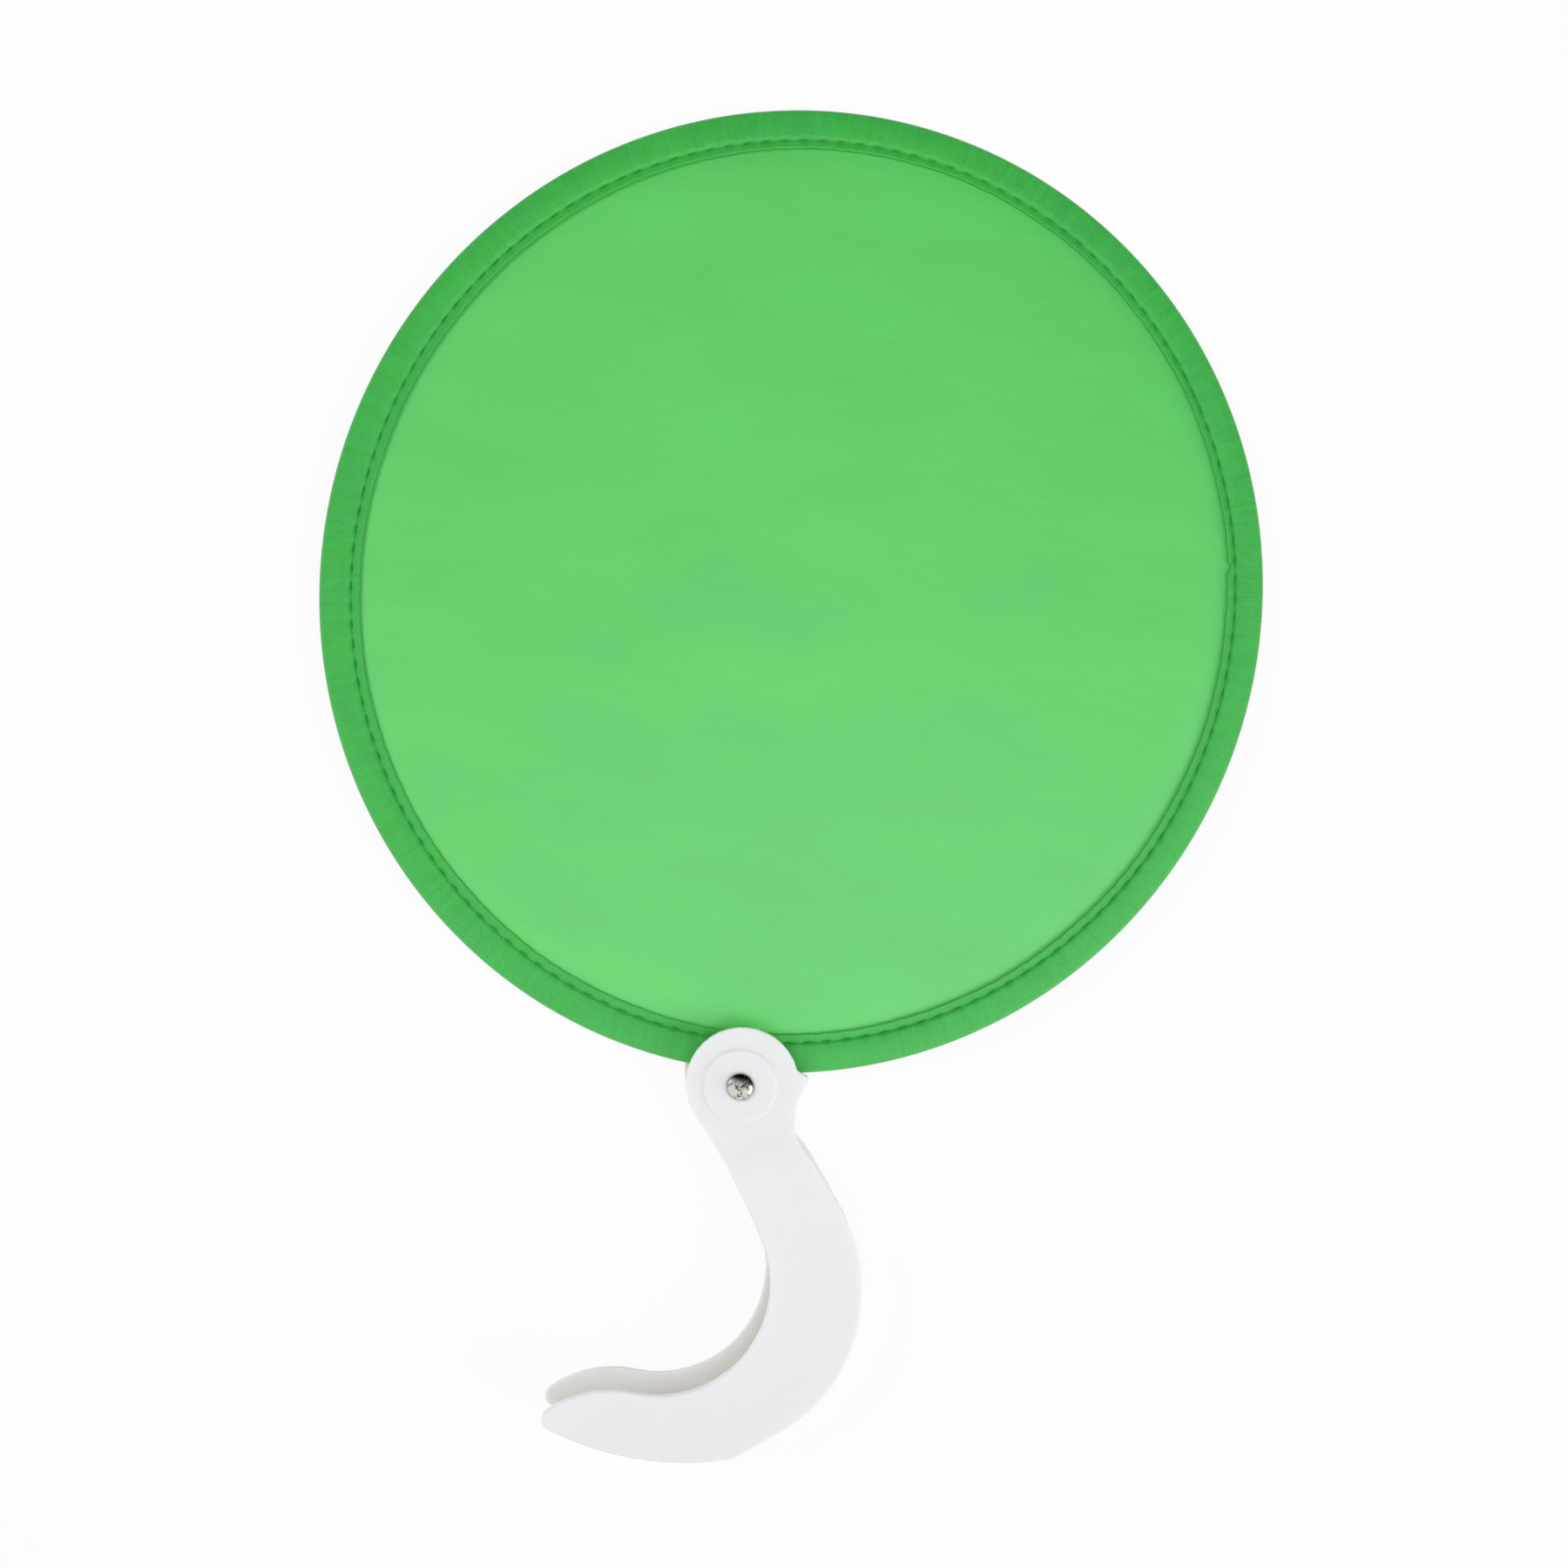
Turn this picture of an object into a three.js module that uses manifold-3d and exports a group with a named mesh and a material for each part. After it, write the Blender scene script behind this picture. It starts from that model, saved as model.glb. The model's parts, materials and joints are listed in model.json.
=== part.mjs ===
// Collapsible hand fan. A cloth disc is sewn over a spring-wire hoop, and a round clamp holds its rim.
// The clamp swivels on one rivet in the fork of a curved channel handle. Twisted up into small loops,
// the disc tucks in between the handle's cheeks, under the lips at the end of the hook.
//
// Millimetres, +Z up. The fan lies face up on its rear cheek, with the disc towards +Y and its far rim
// on the same surface. The origin is on the flat of the rear cheek, at the middle of the grip.

import * as THREE from "three";
import { mergeVertices } from "three/addons/utils/BufferGeometryUtils.js";
import Module from "manifold-3d";

// Disc: a slightly oval panel, a tape folded over its rim, and the hoop inside the fold
const DISC_LONG = 256.4; // over the tape, along the oval's long axis
const DISC_SHORT = 248.9; // over the tape, along the short axis
const DISC_LEAN = 17.8; // degrees from +Y towards +X: the long axis
const DISC_BEARING = 83.8; // degrees from +X: the way from the pivot to the middle of the disc
const PANEL_THICKNESS = 0.3;
const TAPE_WIDTH = 10.2; // from the folded edge to the tape's inner edge
const TAPE_THICKNESS = 0.35;
const SEAM_MARGIN = 2.2; // from the row of stitches to the tape's inner edge
const WIRE_DIAMETER = 1.2;
const WIRE_GAP = 0.6; // between the two ends of the wire
const FERRULE_WALL = 0.25;
const FERRULE_LENGTH = 14;

// Clamp: a round puck in two halves, pinned through the tape just inside the hoop
const PEG_DIAMETER = 1.8;
const PEG_SPREAD = 9; // between the two pegs
const PEG_MARGIN = 0.8; // from the tape's fold to a peg, and from a peg to the panel's edge
const PEG_LENGTH = 4.5; // from the parting face into the other half
const CLAMP_CHAMFER = 0.6;

// Rivet
const SHANK_DIAMETER = 3.2;
const RIVET_HEAD_DIAMETER = 7;
const RIVET_HEAD_RISE = 1.5;
const RIVET_HEAD_EDGE = 0.3; // the head's thin upright edge
const RIVET_TAIL_DIAMETER = 5.6;
const RIVET_TAIL_RISE = 0.4;
const RIVET_HOLLOW_DIAMETER = 2.2;
const RIVET_HOLLOW_DEPTH = 3;
const RIM_LAND = 0.9; // from the shank to the rim's folded edge

// Handle: two cheeks joined by a spine along the back
const WALL = 1.8;
const EDGE_ROUND = 0.8;
const HEAD_RADIUS = 14.55;
const HEAD_X = 0.55; // the middle of the head's circle, from the pivot
const HEAD_Y = 0.55;
const HEAD_WIDTH = 17; // across both cheeks at the head
const BOSS_RADIUS = 9.2;
const BOSS_RISE = 0.5;
const STEP_OUT = 1; // each cheek stands out by this below the head, to make room for the coiled disc
const STEP_LENGTH = 6.5;
const STEP_DISTANCE = 13.9; // from the pivot to where the step starts
const STEP_BEARING = -71.7; // degrees: the way down the handle, square to the step

// Handle's open side: flank, bay of the hook, snap lip and tip
const FLANK_HEAD = 215.2; // degrees on the head where the flank leaves it
const FLANK_BAY = 22.2; // degrees on the bay where the flank runs into it
const BAY_X = -20.9;
const BAY_Y = -50.7;
const BAY_RADIUS = 28.6;
const LIP_BEARING = 257.6; // degrees at the middle of the bay, where the bay's curve turns over into the lip
const LIP_RADIUS = 29;
const TIP_RADIUS = 2.9;

// Handle's back, from the ear at the top down to the tip
const STOP_GAP = 1; // the open disc's rim lies this far above the end of the spine, which stops it
const EAR_REACH = 2.64; // past the head's circle
const EAR_RADIUS = 1.2;
const EAR_RISE = 0.7; // the middle of the ear's round, above the stop
const EAR_SLANT = 61.5; // degrees: the ear's underside
const EAR_FILLET = 2.7;
const EAR_JOIN = 13.5; // degrees on the head where the ear meets it
const NECK_INSET = 0.8; // inside the head's circle
const NECK_LENGTH = 3.9;
const NECK_DIP = 2.2; // the neck runs this far down past the line of the shank, which it meets in a curve
const NECK_ROUND = 2.5;
const NECK_BLEND = 9; // down the shank, to where the outline is back on its line
const SHANK_BEARING = -59.9; // degrees: the straight run from the neck to the belly
const SHANK_RUN = 23.5;
const BELLY_RADIUS = 41.35;
const BELLY_END = -60.4; // degrees on the belly where the straight run to the keel starts
const KEEL_RUN = 14.5;
const KEEL_KINK = 20.7; // degrees: the slight corner between that run and the keel
const KEEL_RADIUS = 78.3;
const SPINE_SETBACK = 9; // the spine ends this far short of the tip, so the cheeks end as two prongs

// Clearances
const RUNNING_GAP = 0.2; // between what turns and what it turns in or on
const POCKET_GAP = 0.4; // round the clamp
const RIM_CLEARANCE = 0.3; // between the tape and the clamp's groove
const SLEEVE_FIT = 0.15; // wire in ferrule, and ferrule in the tape's fold
const PANEL_FIT = 0.1; // panel between the tape's legs
const PEG_FIT = 0.2;
const RIVET_FIT = 0.12; // shank in the handle's bores
const PARTING_GAP = 0.1; // between the clamp's halves

// Fineness of the facets
const CHORD_ERROR = 0.06; // the most that a chord leaves an outline's arc
const RING_STEPS = 120; // round the disc
const PUCK_STEPS = 64; // round the clamp and the bosses
const SMALL_STEPS = 32; // round the rivet and its bores
const PEG_STEPS = 16;
const SLEEVE_STEPS = 12; // round the ferrule
const WIRE_STEPS = 8; // round the wire
const DOME_STEPS = 6; // up the rivet's head
const FOLD_STEPS = 6; // over the tape's fold
const ROUND_STEPS = 3; // over a rounded edge
const ROUND_SHARE = 0.9; // the most of the ear's radius that a rounded edge takes

// Where the pieces lie, worked out from the sizes above
const rad = THREE.MathUtils.degToRad;
const deg = THREE.MathUtils.radToDeg;
const point = (x, y) => new THREE.Vector2(x, y);
const polar = (centre, radius, bearing) =>
  point(centre.x + radius * Math.cos(rad(bearing)), centre.y + radius * Math.sin(rad(bearing)));
const bearingTo = (from, to) => deg(Math.atan2(to.y - from.y, to.x - from.x));
const shares = (steps) => Array.from({ length: steps + 1 }, (_, i) => i / steps); // evenly from 0 to 1
const pivot = point(0, 0);
const far = DISC_LONG; // well outside the handle, for cuts that run off it

// The oval is a circle of the mean radius, stretched along the long axis and leant over
const discMean = (DISC_LONG + DISC_SHORT) / 4;
const toOval = new THREE.Matrix4()
  .makeRotationZ(-rad(DISC_LEAN))
  .scale(new THREE.Vector3(DISC_SHORT / 2 / discMean, DISC_LONG / 2 / discMean, 1));
const fromOval = toOval.clone().invert();
const roundWay = (bearing) => {
  const way = polar(pivot, 1, bearing);
  return new THREE.Vector3(way.x, way.y, 0).applyMatrix4(fromOval);
};
const ovalRadius = (bearing) => discMean / roundWay(bearing).length();

const ferruleBore = WIRE_DIAMETER / 2 + SLEEVE_FIT;
const ferruleRadius = ferruleBore + FERRULE_WALL;
const foldBore = ferruleRadius + SLEEVE_FIT;
const foldRadius = foldBore + TAPE_THICKNESS; // half the rim's thickness, and the hoop's inset from its edge
const legGap = PANEL_THICKNESS / 2 + PANEL_FIT;
const legRise = legGap + TAPE_THICKNESS;
const seamInset = TAPE_WIDTH - SEAM_MARGIN;
const pegInset = 2 * foldRadius + PEG_MARGIN + PEG_DIAMETER / 2;
const panelInset = pegInset + PEG_DIAMETER / 2 + PEG_FIT + PEG_MARGIN;

const rimToPivot = SHANK_DIAMETER / 2 + RIM_LAND;
const discCentre = polar(pivot, ovalRadius(DISC_BEARING + 180) + rimToPivot, DISC_BEARING);
const channelHalf = HEAD_WIDTH / 2 + STEP_OUT;
const farRim = discCentre.y + Math.hypot(DISC_LONG * Math.cos(rad(DISC_LEAN)),
  DISC_SHORT * Math.sin(rad(DISC_LEAN))) / 2 - foldRadius;
const droop = Math.asin((channelHalf - foldRadius) / farRim); // lets the far rim down to the table

const pocketRadius = HEAD_RADIUS - WALL;
const clampRadius = pocketRadius - POCKET_GAP;
const clampHalf = HEAD_WIDTH / 2 - WALL - RUNNING_GAP;
const seat = HEAD_WIDTH / 2 + BOSS_RISE; // the bosses' faces, which the rivet holds between its two ends

const bay = point(BAY_X, BAY_Y);
const headMiddle = point(HEAD_X, HEAD_Y);
const stopY = discCentre.y - ovalRadius(270) - STOP_GAP;
const ear = point(HEAD_X + HEAD_RADIUS + EAR_REACH - EAR_RADIUS, stopY + EAR_RISE);
const earUnder = polar(ear, EAR_RADIUS, EAR_SLANT - 90);
const neckX = HEAD_X + HEAD_RADIUS - NECK_INSET;
const neckTop = earUnder.y - (earUnder.x - neckX) * Math.tan(rad(EAR_SLANT));
const neckCorner = point(neckX, neckTop - EAR_FILLET - NECK_LENGTH);
const neckFoot = point(neckX, neckCorner.y - NECK_DIP);
const shankTop = polar(neckCorner, NECK_BLEND, SHANK_BEARING);
const bellyTop = polar(neckCorner, SHANK_RUN, SHANK_BEARING);
const belly = polar(bellyTop, -BELLY_RADIUS, SHANK_BEARING + 90);
const bellyFoot = polar(belly, BELLY_RADIUS, BELLY_END);
const keelCorner = polar(bellyFoot, KEEL_RUN, BELLY_END - 90);
const keelStart = BELLY_END - KEEL_KINK + 360;
const keel = polar(keelCorner, -KEEL_RADIUS, keelStart);
const lip = polar(bay, BAY_RADIUS + LIP_RADIUS, LIP_BEARING);
const tip = circlesMeet(lip, LIP_RADIUS - TIP_RADIUS, keel, KEEL_RADIUS - TIP_RADIUS);
const tipOnKeel = bearingTo(keel, tip) + 360;
const spineEnd = tipOnKeel + deg(SPINE_SETBACK / KEEL_RADIUS);
const grip = point((BAY_X + BAY_RADIUS + belly.x + BELLY_RADIUS) / 2, BAY_Y);

// Where two circles meet, on the left of the way from the first to the second
function circlesMeet(a, radiusA, b, radiusB) {
  const apart = a.distanceTo(b);
  const along = (apart ** 2 + radiusA ** 2 - radiusB ** 2) / (2 * apart);
  const aside = Math.sqrt(radiusA ** 2 - along ** 2);
  const way = bearingTo(a, b);
  return polar(polar(a, along, way), aside, way + 90);
}

// Where a straight line meets a circle that it starts inside
function lineMeetsCircle(start, bearing, centre, radius) {
  const out = start.clone().sub(centre);
  const along = out.dot(polar(pivot, 1, bearing));
  return polar(start, Math.sqrt(along ** 2 + radius ** 2 - out.lengthSq()) - along, bearing);
}

// Where two straight lines cross
function linesMeet(a, bearingA, b, bearingB) {
  const between = b.clone().sub(a);
  const wayB = polar(pivot, 1, bearingB);
  return polar(a, between.cross(wayB) / polar(pivot, 1, bearingA).cross(wayB), bearingA);
}

// Points of an arc between two bearings, either way round
function arc(centre, radius, from, to) {
  const step = 2 * deg(Math.acos(1 - CHORD_ERROR / radius));
  const steps = Math.ceil(Math.abs(to - from) / step);
  return shares(steps).map((share) => polar(centre, radius, from + (to - from) * share));
}

// Points of a curve from one point to another, tangent to the lines to their common corner
function bend(from, corner, to) {
  const chord = Math.sqrt(8 * CHORD_ERROR * from.distanceTo(to));
  return new THREE.QuadraticBezierCurve(from, corner, to).getPoints(Math.ceil(from.distanceTo(to) / chord));
}

// A closed outline, with the points left out that repeat the one before
function outlineShape(points) {
  const apart = (p, i) => p.distanceTo(points.at(i - 1)) > CHORD_ERROR;
  return new THREE.Shape(points.filter(apart));
}

// Joins and cuts of closed geometry
const wasm = await Module();
wasm.setup();

function solidOf(geometry) {
  const bare = geometry.clone();
  bare.deleteAttribute("normal");
  bare.deleteAttribute("uv");
  const merged = mergeVertices(bare);
  return new wasm.Manifold(new wasm.Mesh({
    numProp: 3,
    vertProperties: merged.attributes.position.array,
    triVerts: new Uint32Array(merged.index.array),
  }));
}

function geometryOf(solid) {
  const { vertProperties, triVerts } = solid.getMesh();
  return new THREE.BufferGeometry()
    .setAttribute("position", new THREE.BufferAttribute(vertProperties, 3))
    .setIndex(new THREE.BufferAttribute(triVerts, 1));
}

// A solid turned about the Z axis from [radius, height] pairs, listed up its outer side
const turned = (profile, steps) =>
  new THREE.LatheGeometry(profile.map(([radius, height]) => point(radius, height)), steps).rotateX(Math.PI / 2);

// An upright cylinder between two heights
const rod = (radius, low, high, steps) => turned([[0, low], [radius, low], [radius, high], [0, high]], steps);

// An outline given a depth across the channel, with rounded edges on both faces
function slab(shape, depth, round) {
  return new THREE.ExtrudeGeometry(shape, {
    depth: depth - 2 * round,
    bevelEnabled: round > 0,
    bevelThickness: round,
    bevelSize: round,
    bevelOffset: -round,
    bevelSegments: ROUND_STEPS,
  }).translate(0, 0, round - depth / 2);
}

// Handle: the outline that both cheeks share, anticlockwise from the ear
function cheekOutline() {
  const flankTop = polar(headMiddle, HEAD_RADIUS, FLANK_HEAD);
  const flankFoot = polar(bay, BAY_RADIUS, FLANK_BAY);
  const flankCorner = linesMeet(flankTop, FLANK_HEAD + 90, flankFoot, FLANK_BAY + 90);
  const neckRun = bearingTo(shankTop, neckFoot);
  return outlineShape([
    ...arc(headMiddle, HEAD_RADIUS, EAR_JOIN, FLANK_HEAD),
    ...bend(flankTop, flankCorner, flankFoot),
    ...arc(bay, BAY_RADIUS, FLANK_BAY, LIP_BEARING - 360),
    ...arc(lip, LIP_RADIUS, LIP_BEARING - 180, bearingTo(lip, tip)),
    ...arc(tip, TIP_RADIUS, bearingTo(lip, tip), tipOnKeel),
    ...arc(keel, KEEL_RADIUS, tipOnKeel, keelStart),
    ...arc(belly, BELLY_RADIUS, BELLY_END, SHANK_BEARING + 90),
    ...bend(polar(shankTop, NECK_ROUND, SHANK_BEARING), shankTop, polar(shankTop, NECK_ROUND, neckRun)),
    ...bend(polar(neckFoot, -NECK_ROUND, neckRun), neckFoot, point(neckX, neckFoot.y + NECK_ROUND)),
    ...bend(point(neckX, neckTop - EAR_FILLET), point(neckX, neckTop), earUnder),
    ...arc(ear, EAR_RADIUS, EAR_SLANT - 90, 90),
  ]);
}

// Handle: all that lies inside the spine, open towards the bay, the tip and the disc
function hollowOutline() {
  const innerX = neckX - WALL;
  const innerBelly = BELLY_RADIUS - WALL;
  const innerKeel = KEEL_RADIUS - WALL;
  const innerCorner = lineMeetsCircle(polar(belly, innerBelly, BELLY_END), BELLY_END - 90, keel, innerKeel);
  const offSpine = polar(keel, KEEL_RADIUS + WALL, spineEnd);
  return outlineShape([
    point(far, stopY),
    ...arc(pivot, pocketRadius, deg(Math.asin(stopY / pocketRadius)), -deg(Math.acos(innerX / pocketRadius))),
    linesMeet(polar(belly, innerBelly, SHANK_BEARING + 90), SHANK_BEARING, point(innerX, 0), 90),
    ...arc(belly, innerBelly, SHANK_BEARING + 90, BELLY_END),
    ...arc(keel, innerKeel, bearingTo(keel, innerCorner) + 360, spineEnd),
    offSpine,
    point(-far, offSpine.y),
    point(-far, far),
    point(far, far),
  ]);
}

// Handle: what stands outside the head's narrower width, above or below it, cut square to the step.
// An inset moves the cut inwards by a wall's thickness, for the hollow.
function stepCut(side, inset) {
  const start = STEP_DISTANCE + inset * Math.tan(Math.atan2(STEP_OUT, STEP_LENGTH) / 2);
  const low = HEAD_WIDTH / 2 - inset;
  const section = [
    point(-far, low),
    point(start, low),
    point(start + STEP_LENGTH, low + STEP_OUT),
    point(start + STEP_LENGTH, far),
    point(-far, far),
  ];
  const shape = new THREE.Shape(section.map(({ x, y }) => point(x, side * y)));
  const down = polar(pivot, 1, STEP_BEARING);
  const along = new THREE.Vector3(down.x, down.y, 0);
  const up = new THREE.Vector3(0, 0, 1);
  const across = along.clone().cross(up);
  const place = new THREE.Matrix4().makeBasis(along, up, across);
  return solidOf(slab(shape, 2 * far, 0).applyMatrix4(place));
}

function makeHandle() {
  const cheek = cheekOutline();
  const round = Math.min(EDGE_ROUND, WALL, EAR_RADIUS * ROUND_SHARE);
  const fork = solidOf(slab(cheek, HEAD_WIDTH, round));
  const channel = solidOf(slab(cheek, 2 * channelHalf, round))
    .subtract(stepCut(1, 0))
    .subtract(stepCut(-1, 0));
  const hollow = solidOf(slab(hollowOutline(), 2 * (channelHalf - WALL), 0))
    .subtract(stepCut(1, WALL))
    .subtract(stepCut(-1, WALL));
  const root = seat - BOSS_RISE - WALL / 2;
  const boss = turned([[0, root], [BOSS_RADIUS + BOSS_RISE, root], [BOSS_RADIUS + BOSS_RISE, seat - BOSS_RISE],
    [BOSS_RADIUS, seat], [0, seat]], PUCK_STEPS);
  const bore = rod(SHANK_DIAMETER / 2 + RIVET_FIT, -far, far, SMALL_STEPS);
  return geometryOf(
    fork
      .add(channel)
      .subtract(hollow)
      .add(solidOf(boss))
      .add(solidOf(boss.clone().rotateX(Math.PI)))
      .subtract(solidOf(bore)),
  );
}

// Rivet: domed head in front, and a hollow tail rolled over behind
function makeRivet() {
  const shank = SHANK_DIAMETER / 2;
  const head = RIVET_HEAD_DIAMETER / 2;
  const tail = RIVET_TAIL_DIAMETER / 2;
  const hollow = RIVET_HOLLOW_DIAMETER / 2;
  const edge = seat + RIVET_HEAD_EDGE;
  const crown = RIVET_HEAD_RISE - RIVET_HEAD_EDGE;
  const quarter = shares(DOME_STEPS).map((share) => (share * Math.PI) / 2);
  const dome = quarter.slice(0, -1).map((t) => [head * Math.cos(t), edge + crown * Math.sin(t)]);
  const lipMiddle = (tail + hollow) / 2;
  const lipHalf = (tail - hollow) / 2;
  const roll = shares(2 * DOME_STEPS).map((share) => share * Math.PI).map((t) =>
    [lipMiddle - lipHalf * Math.cos(t), -seat - RIVET_TAIL_RISE * Math.sin(t)]);
  const bottom = -seat - RIVET_TAIL_RISE + RIVET_HOLLOW_DEPTH;
  return turned([[0, bottom], [hollow, bottom], ...roll, [shank, -seat], [shank, seat], [head, seat], ...dome,
    [0, edge + crown]], SMALL_STEPS);
}

// Disc: a ring of the given section, as [inset from the folded edge, height] pairs, bottom side first
const ring = (section) =>
  turned([...section, section[0]].map(([inset, height]) => [discMean - inset, height]), RING_STEPS)
    .applyMatrix4(toOval);

// Disc: one side of the tape in section, from the inner edge below, round the fold, to the inner edge above
function tapeSide(width, leg, radius) {
  const fold = shares(FOLD_STEPS).map((share) => (share - 1 / 2) * Math.PI);
  return [
    [width, -leg],
    [seamInset, -leg],
    ...fold.map((t) => [foldRadius - radius * Math.cos(t), radius * Math.sin(t)]),
    [seamInset, leg],
    [width, leg],
  ];
}

// Disc: the tape's outer skin, with a margin all round for the groove that takes it
const tapeSkin = (margin) => tapeSide(TAPE_WIDTH + margin, legRise + margin, foldRadius + margin);

// Clamp: the two pegs' places, just inside the hoop
const pegs = [-0.5, 0.5].map((side) =>
  polar(polar(pivot, rimToPivot + pegInset, DISC_BEARING), side * PEG_SPREAD, DISC_BEARING + 90));
const discPlace = new THREE.Matrix4()
  .makeRotationX(-droop)
  .multiply(new THREE.Matrix4().makeTranslation(discCentre.x, discCentre.y, 0));
const pegRods = (fit, low, high) =>
  pegs.map((peg) => rod(PEG_DIAMETER / 2 + fit, low, high, PEG_STEPS).translate(peg.x, peg.y, 0));

function makeTape() {
  const inside = tapeSide(TAPE_WIDTH, legGap, foldBore).reverse();
  const holes = pegRods(PEG_FIT, -PEG_LENGTH, PEG_LENGTH);
  const tape = holes.reduce(
    (cloth, hole) => cloth.subtract(solidOf(hole.translate(-discCentre.x, -discCentre.y, 0))),
    solidOf(ring([...tapeSkin(0), ...inside])),
  );
  return geometryOf(tape);
}

function makePanel() {
  const radius = discMean - panelInset;
  const half = PANEL_THICKNESS / 2;
  return rod(radius, -half, half, RING_STEPS).applyMatrix4(toOval);
}

// Disc: the wire's line round the hoop, from one bearing to another, before the circle is made oval
class HoopLine extends THREE.Curve {
  constructor(from, to) {
    super();
    this.from = from;
    this.to = to;
  }

  getPoint(t, target = new THREE.Vector3()) {
    const spot = polar(pivot, discMean - foldRadius, this.from + (this.to - this.from) * t);
    return target.set(spot.x, spot.y, 0);
  }
}

const roundShape = (radius, steps) =>
  new THREE.Shape(shares(steps).slice(1).map((share) => polar(pivot, radius, 360 * share)));
const wireJoint = bearingTo(pivot, roundWay(DISC_BEARING + 180)); // where the wire's two ends meet
const bearingSpan = (length) => deg(length / (discMean - foldRadius));

function makeHoop() {
  const half = bearingSpan(WIRE_GAP) / 2;
  const wire = roundShape(WIRE_DIAMETER / 2, WIRE_STEPS);
  const line = new HoopLine(wireJoint + half, wireJoint + 360 - half);
  return new THREE.ExtrudeGeometry(wire, { steps: RING_STEPS, extrudePath: line }).applyMatrix4(toOval);
}

function makeFerrule() {
  const half = bearingSpan(FERRULE_LENGTH) / 2;
  const tube = roundShape(ferruleRadius, SLEEVE_STEPS);
  tube.holes.push(roundShape(ferruleBore, SLEEVE_STEPS));
  const line = new HoopLine(wireJoint - half, wireJoint + half);
  return new THREE.ExtrudeGeometry(tube, { steps: SLEEVE_STEPS, extrudePath: line }).applyMatrix4(toOval);
}

// Clamp: half of the puck, with the rivet's bore and a groove that follows the drooping rim
function clampBlank(side) {
  const low = PARTING_GAP / 2;
  const puck = turned([[0, low], [clampRadius, low], [clampRadius, clampHalf - CLAMP_CHAMFER],
    [clampRadius - CLAMP_CHAMFER, clampHalf], [0, clampHalf]], PUCK_STEPS);
  const bore = rod(SHANK_DIAMETER / 2 + RUNNING_GAP, -clampHalf - WALL, clampHalf + WALL, SMALL_STEPS);
  return solidOf(side > 0 ? puck : puck.rotateX(Math.PI))
    .subtract(solidOf(bore))
    .subtract(solidOf(ring(tapeSkin(RIM_CLEARANCE)).applyMatrix4(discPlace)));
}

function makeFrontClamp() {
  const rods = pegRods(0, -PEG_LENGTH, clampHalf - CLAMP_CHAMFER);
  return geometryOf(rods.reduce((half, peg) => half.add(solidOf(peg)), clampBlank(1)));
}

function makeRearClamp() {
  const sockets = pegRods(PEG_FIT, -PEG_LENGTH - PEG_FIT, clampHalf);
  return geometryOf(sockets.reduce((half, socket) => half.subtract(solidOf(socket)), clampBlank(-1)));
}

// Finishes
const finish = (color, roughness, metalness) => new THREE.MeshStandardMaterial({ color, roughness, metalness });
const whitePlastic = finish(0xf0f0f2, 0.4, 0);
const greyPlastic = finish(0xdcdcda, 0.5, 0);
const nickel = finish(0xc9c7c2, 0.2, 1);
const springSteel = finish(0x8e9093, 0.35, 1);
const panelCloth = finish(0x69d271, 0.75, 0);
const tapeCloth = finish(0x4cb256, 0.85, 0);

// Assembly: everything hangs on the pivot, and the disc's own pieces droop from it
function piece(name, geometry, material) {
  const mesh = new THREE.Mesh(geometry, material);
  mesh.name = name;
  return mesh;
}

const disc = new THREE.Group();
disc.rotation.x = -droop;
disc.add(
  piece("fabric_panel", makePanel(), panelCloth),
  piece("binding_tape", makeTape(), tapeCloth),
  piece("spring_hoop", makeHoop(), springSteel),
  piece("hoop_ferrule", makeFerrule(), springSteel),
);
disc.children.forEach((cloth) => cloth.position.set(discCentre.x, discCentre.y, 0));

const swivel = new THREE.Group();
swivel.position.set(-grip.x, -grip.y, channelHalf);
swivel.add(
  piece("handle", makeHandle(), whitePlastic),
  piece("rivet", makeRivet(), nickel),
  piece("rim_clamp_front", makeFrontClamp(), greyPlastic),
  piece("rim_clamp_rear", makeRearClamp(), greyPlastic),
  disc,
);

const fan = new THREE.Group();
fan.add(swivel);
export default fan;
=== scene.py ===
# %% [markdown]
# # A collapsible hand fan
#
# The fan is a round cloth disc on a spring-wire hoop. It swivels on one rivet in the head of a hooked white
# handle. The CAD model gives the sizes, the joint and the hard pieces. This lesson gives them their
# finishes, and remakes the cloth, the sewing, the rivet and the handle's edges in more detail.

# %% Load the frame
import json
import math
import random

import bmesh
import bpy
from mathutils import Matrix, Vector


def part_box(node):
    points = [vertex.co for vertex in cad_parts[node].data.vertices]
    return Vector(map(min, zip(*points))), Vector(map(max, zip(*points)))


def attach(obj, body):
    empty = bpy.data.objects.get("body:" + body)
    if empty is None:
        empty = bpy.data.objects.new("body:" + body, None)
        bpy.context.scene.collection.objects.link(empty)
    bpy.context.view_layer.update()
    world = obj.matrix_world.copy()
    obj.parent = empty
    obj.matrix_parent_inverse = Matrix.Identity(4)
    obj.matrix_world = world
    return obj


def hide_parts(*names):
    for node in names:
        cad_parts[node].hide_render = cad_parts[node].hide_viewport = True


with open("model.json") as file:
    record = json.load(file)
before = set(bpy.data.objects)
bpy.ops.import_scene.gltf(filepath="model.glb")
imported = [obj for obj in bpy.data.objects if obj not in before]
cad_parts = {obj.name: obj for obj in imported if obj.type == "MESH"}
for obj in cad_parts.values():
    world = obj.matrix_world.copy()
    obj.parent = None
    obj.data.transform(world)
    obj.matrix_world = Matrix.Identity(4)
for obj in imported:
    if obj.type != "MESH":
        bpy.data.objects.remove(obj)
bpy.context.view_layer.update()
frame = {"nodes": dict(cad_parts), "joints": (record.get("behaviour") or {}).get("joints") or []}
MM = 0.001
nodes = frame["nodes"]
pivot = Vector(frame["joints"][0]["pos_m"])
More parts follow.
